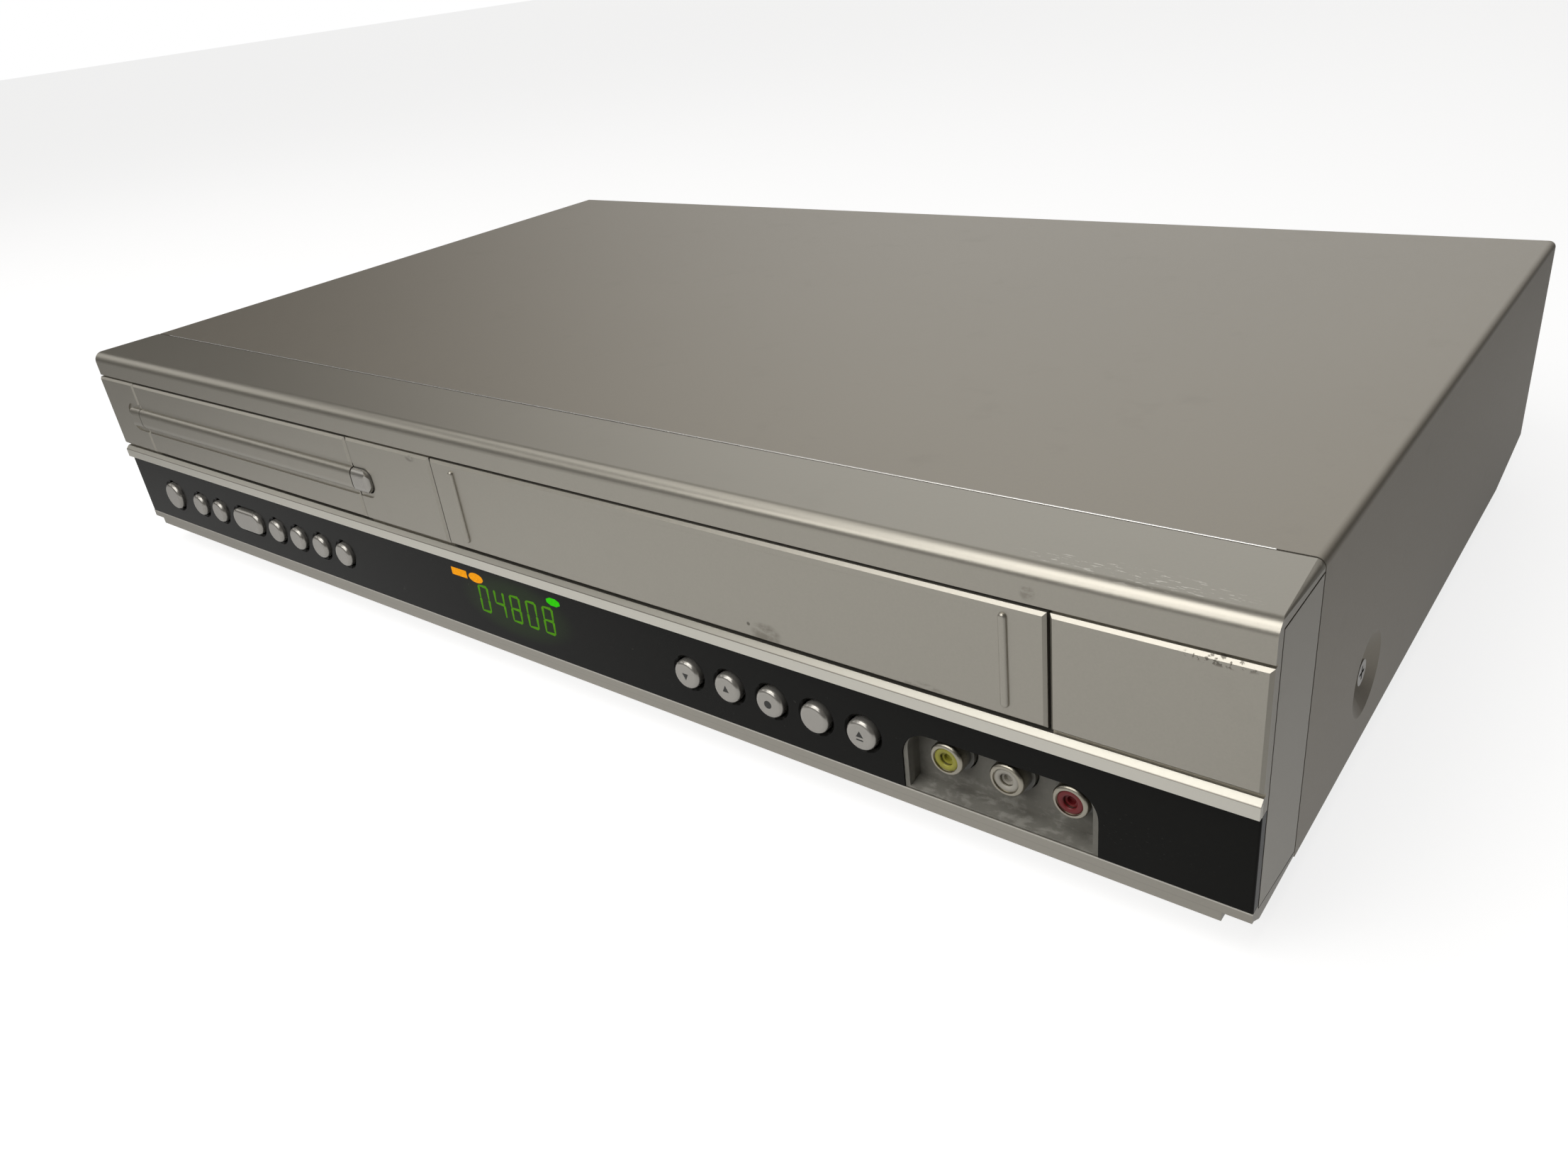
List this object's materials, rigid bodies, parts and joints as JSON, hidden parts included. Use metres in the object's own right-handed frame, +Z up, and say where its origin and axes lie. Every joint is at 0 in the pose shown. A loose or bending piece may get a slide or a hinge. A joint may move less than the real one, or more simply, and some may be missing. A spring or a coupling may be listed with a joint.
{
  "type": "dvd vcr combo player",
  "caption": "Wide low silver deck with a disc tray on the left, a tape door on the right, a black control strip and front sockets.",
  "frame": {"origin": "on the floor under the middle of the case", "axes": "+X to the right seen from the front, +Y to the back, +Z up"},
  "size_m": [0.435, 0.2679, 0.078],
  "materials": {
    "cover_paint": "satin warm grey paint with fine speckle",
    "bezel_paint": "satin silver paint on plastic",
    "strip_black": "gloss charcoal black",
    "button_silver": "satin metallised silver",
    "recess_grey": "mid grey, matt",
    "zinc_steel": "zinc-plated sheet",
    "bare_steel": "ground",
    "foot_rubber": "matt black",
    "board_green": "solder mask",
    "black_plastic": "matt",
    "white_plastic": "matt",
    "display_glass": "dark filter, lit segments",
    "jack_metal": "nickel sleeve with a coloured insert",
    "belt_rubber": "matt",
    "roller_rubber": "matt",
    "drum_metal": "turned",
    "socket_plastic": "black"
  },
  "bodies": {
    "case": {"base_chassis": "zinc_steel", "top_cover": "cover_paint", "rear_panel": "zinc_steel", "front_bezel": "bezel_paint", "control_strip": "strip_black", "bottom_trim": "bezel_paint", "jack_recess": "recess_grey", "feet": "foot_rubber", "case_screws": "bare_steel", "door_spring": "bare_steel", "front_board": "board_green", "key_switches": "black_plastic", "display_tube": "display_glass", "video_jack": "jack_metal", "audio_left_jack": "jack_metal", "audio_right_jack": "jack_metal", "loader_frame": "black_plastic", "loader_belt": "belt_rubber", "loader_motor": "bare_steel", "deck_chassis": "zinc_steel", "carriage_frame": "zinc_steel", "lower_drum": "drum_metal", "main_board": "board_green", "power_board": "board_green", "tuner_module": "zinc_steel", "line_sockets": "socket_plastic", "video_sockets": "socket_plastic", "cord_gland": "black_plastic"},
    "tray": {"disc_tray": "black_plastic", "tray_front": "bezel_paint"},
    "gear": {"tray_gear": "white_plastic"},
    "pulley": {"motor_pulley": "white_plastic"},
    "traverse": {"traverse_frame": "black_plastic", "guide_rods": "bare_steel"},
    "screw": {"sled_screw": "bare_steel"},
    "pickup": {"optical_pickup": "black_plastic"},
    "turntable": {"disc_turntable": "black_plastic"},
    "clamp": {"disc_clamp": "white_plastic"},
    "door": {"cassette_door": "bezel_paint"},
    "holder": {"cassette_holder": "zinc_steel"},
    "drum": {"upper_drum": "drum_metal"},
    "capstan_spindle": {"capstan": "bare_steel"},
    "pinch_lever": {"pinch_arm": "zinc_steel"},
    "pinch_wheel": {"pinch_roller": "roller_rubber"},
    "supply_hub": {"supply_reel": "black_plastic"},
    "take_up_hub": {"take_up_reel": "black_plastic"},
    "power_button": {"power_button": "button_silver"},
    "rewind_button": {"rewind_button": "button_silver"},
    "forward_button": {"forward_button": "button_silver"},
    "play_button": {"play_button": "button_silver"},
    "stop_button": {"stop_button": "button_silver"},
    "pause_button": {"pause_button": "button_silver"},
    "previous_button": {"previous_button": "button_silver"},
    "next_button": {"next_button": "button_silver"},
    "channel_down_button": {"channel_down_button": "button_silver"},
    "channel_up_button": {"channel_up_button": "button_silver"},
    "record_button": {"record_button": "button_silver"},
    "source_button": {"source_button": "button_silver"},
    "eject_button": {"eject_button": "button_silver"},
    "open_close_button": {"open_close_button": "bezel_paint"}
  },
  "joints": [
    {"name": "tray_slide", "type": "slide", "parent": "case", "child": "tray", "axis": [0, -1, 0], "range_m": [0, 0.138]},
    {"name": "gear_spin", "type": "hinge", "parent": "case", "child": "gear", "pos_m": [-0.1709, -0.09, 0.05], "axis": [0, 0, 1], "range_deg": [0, 660]},
    {"name": "pulley_spin", "type": "hinge", "parent": "case", "child": "pulley", "pos_m": [-0.1389, -0.09, 0.046], "axis": [0, 0, 1], "range_deg": [0, 2080]},
    {"name": "traverse_tilt", "type": "hinge", "parent": "case", "child": "traverse", "pos_m": [-0.1249, 0.05, 0.041], "axis": [1, 0, 0], "range_deg": [0, 5]},
    {"name": "pickup_slide", "type": "slide", "parent": "traverse", "child": "pickup", "axis": [0, 1, 0], "range_m": [0, 0.031]},
    {"name": "screw_spin", "type": "hinge", "parent": "traverse", "child": "screw", "pos_m": [-0.0949, 0, 0.046], "axis": [0, 1, 0], "range_deg": [0, 5600]},
    {"name": "turntable_spin", "type": "hinge", "parent": "traverse", "child": "turntable", "pos_m": [-0.1249, -0.05, 0.05], "axis": [0, 0, 1], "continuous": true},
    {"name": "clamp_spin", "type": "hinge", "parent": "case", "child": "clamp", "pos_m": [-0.1249, -0.05, 0.062], "axis": [0, 0, 1], "continuous": true},
    {"name": "door_swing", "type": "hinge", "parent": "case", "child": "door", "pos_m": [0.07965, -0.1279, 0.0664], "axis": [1, 0, 0], "range_deg": [0, 80], "stiffness_Nm_per_rad": 0.004, "springref_deg": -20.05},
    {"name": "holder_slide", "type": "slide", "parent": "case", "child": "holder", "axis": [0, 1, 0], "range_m": [0, 0.02]},
    {"name": "drum_spin", "type": "hinge", "parent": "case", "child": "drum", "pos_m": [0.07965, 0.058, 0.04], "axis": [0, 0, 1], "continuous": true},
    {"name": "capstan_spin", "type": "hinge", "parent": "case", "child": "capstan_spindle", "pos_m": [0.12965, 0.022, 0.014], "axis": [0, 0, 1], "continuous": true},
    {"name": "pinch_swing", "type": "hinge", "parent": "case", "child": "pinch_lever", "pos_m": [0.14565, 0.012, 0.022], "axis": [0, 0, 1], "range_deg": [0, 9.5]},
    {"name": "pinch_spin", "type": "hinge", "parent": "pinch_lever", "child": "pinch_wheel", "pos_m": [0.13865, 0.03, 0.03], "axis": [0, 0, 1], "continuous": true},
    {"name": "supply_spin", "type": "hinge", "parent": "case", "child": "supply_hub", "pos_m": [0.03815, -0.038, 0.025], "axis": [0, 0, 1], "continuous": true},
    {"name": "take_up_spin", "type": "hinge", "parent": "case", "child": "take_up_hub", "pos_m": [0.12115, -0.038, 0.025], "axis": [0, 0, 1], "continuous": true},
    {"name": "power_button_press", "type": "slide", "parent": "case", "child": "power_button", "axis": [0, 1, 0], "range_m": [0, 0.0008], "stiffness_N_per_m": 900, "springref_m": -0.0006},
    {"name": "rewind_button_press", "type": "slide", "parent": "case", "child": "rewind_button", "axis": [0, 1, 0], "range_m": [0, 0.0008], "stiffness_N_per_m": 900, "springref_m": -0.0006},
    {"name": "forward_button_press", "type": "slide", "parent": "case", "child": "forward_button", "axis": [0, 1, 0], "range_m": [0, 0.0008], "stiffness_N_per_m": 900, "springref_m": -0.0006},
    {"name": "play_button_press", "type": "slide", "parent": "case", "child": "play_button", "axis": [0, 1, 0], "range_m": [0, 0.0008], "stiffness_N_per_m": 900, "springref_m": -0.0006},
    {"name": "stop_button_press", "type": "slide", "parent": "case", "child": "stop_button", "axis": [0, 1, 0], "range_m": [0, 0.0008], "stiffness_N_per_m": 900, "springref_m": -0.0006},
    {"name": "pause_button_press", "type": "slide", "parent": "case", "child": "pause_button", "axis": [0, 1, 0], "range_m": [0, 0.0008], "stiffness_N_per_m": 900, "springref_m": -0.0006},
    {"name": "previous_button_press", "type": "slide", "parent": "case", "child": "previous_button", "axis": [0, 1, 0], "range_m": [0, 0.0008], "stiffness_N_per_m": 900, "springref_m": -0.0006},
    {"name": "next_button_press", "type": "slide", "parent": "case", "child": "next_button", "axis": [0, 1, 0], "range_m": [0, 0.0008], "stiffness_N_per_m": 900, "springref_m": -0.0006},
    {"name": "channel_down_button_press", "type": "slide", "parent": "case", "child": "channel_down_button", "axis": [0, 1, 0], "range_m": [0, 0.0008], "stiffness_N_per_m": 900, "springref_m": -0.0006},
    {"name": "channel_up_button_press", "type": "slide", "parent": "case", "child": "channel_up_button", "axis": [0, 1, 0], "range_m": [0, 0.0008], "stiffness_N_per_m": 900, "springref_m": -0.0006},
    {"name": "record_button_press", "type": "slide", "parent": "case", "child": "record_button", "axis": [0, 1, 0], "range_m": [0, 0.0008], "stiffness_N_per_m": 900, "springref_m": -0.0006},
    {"name": "source_button_press", "type": "slide", "parent": "case", "child": "source_button", "axis": [0, 1, 0], "range_m": [0, 0.0008], "stiffness_N_per_m": 900, "springref_m": -0.0006},
    {"name": "eject_button_press", "type": "slide", "parent": "case", "child": "eject_button", "axis": [0, 1, 0], "range_m": [0, 0.0008], "stiffness_N_per_m": 900, "springref_m": -0.0006},
    {"name": "open_close_button_press", "type": "slide", "parent": "case", "child": "open_close_button", "axis": [0, 1, 0], "range_m": [0, 0.0008], "stiffness_N_per_m": 900, "springref_m": -0.0006}
  ],
  "couplings": [
    {"joint": "gear_spin", "follows": "tray_slide", "rad_per_m": 83.333},
    {"joint": "pulley_spin", "follows": "tray_slide", "rad_per_m": 261.9},
    {"joint": "screw_spin", "follows": "pickup_slide", "rad_per_m": 3141.6}
  ]
}
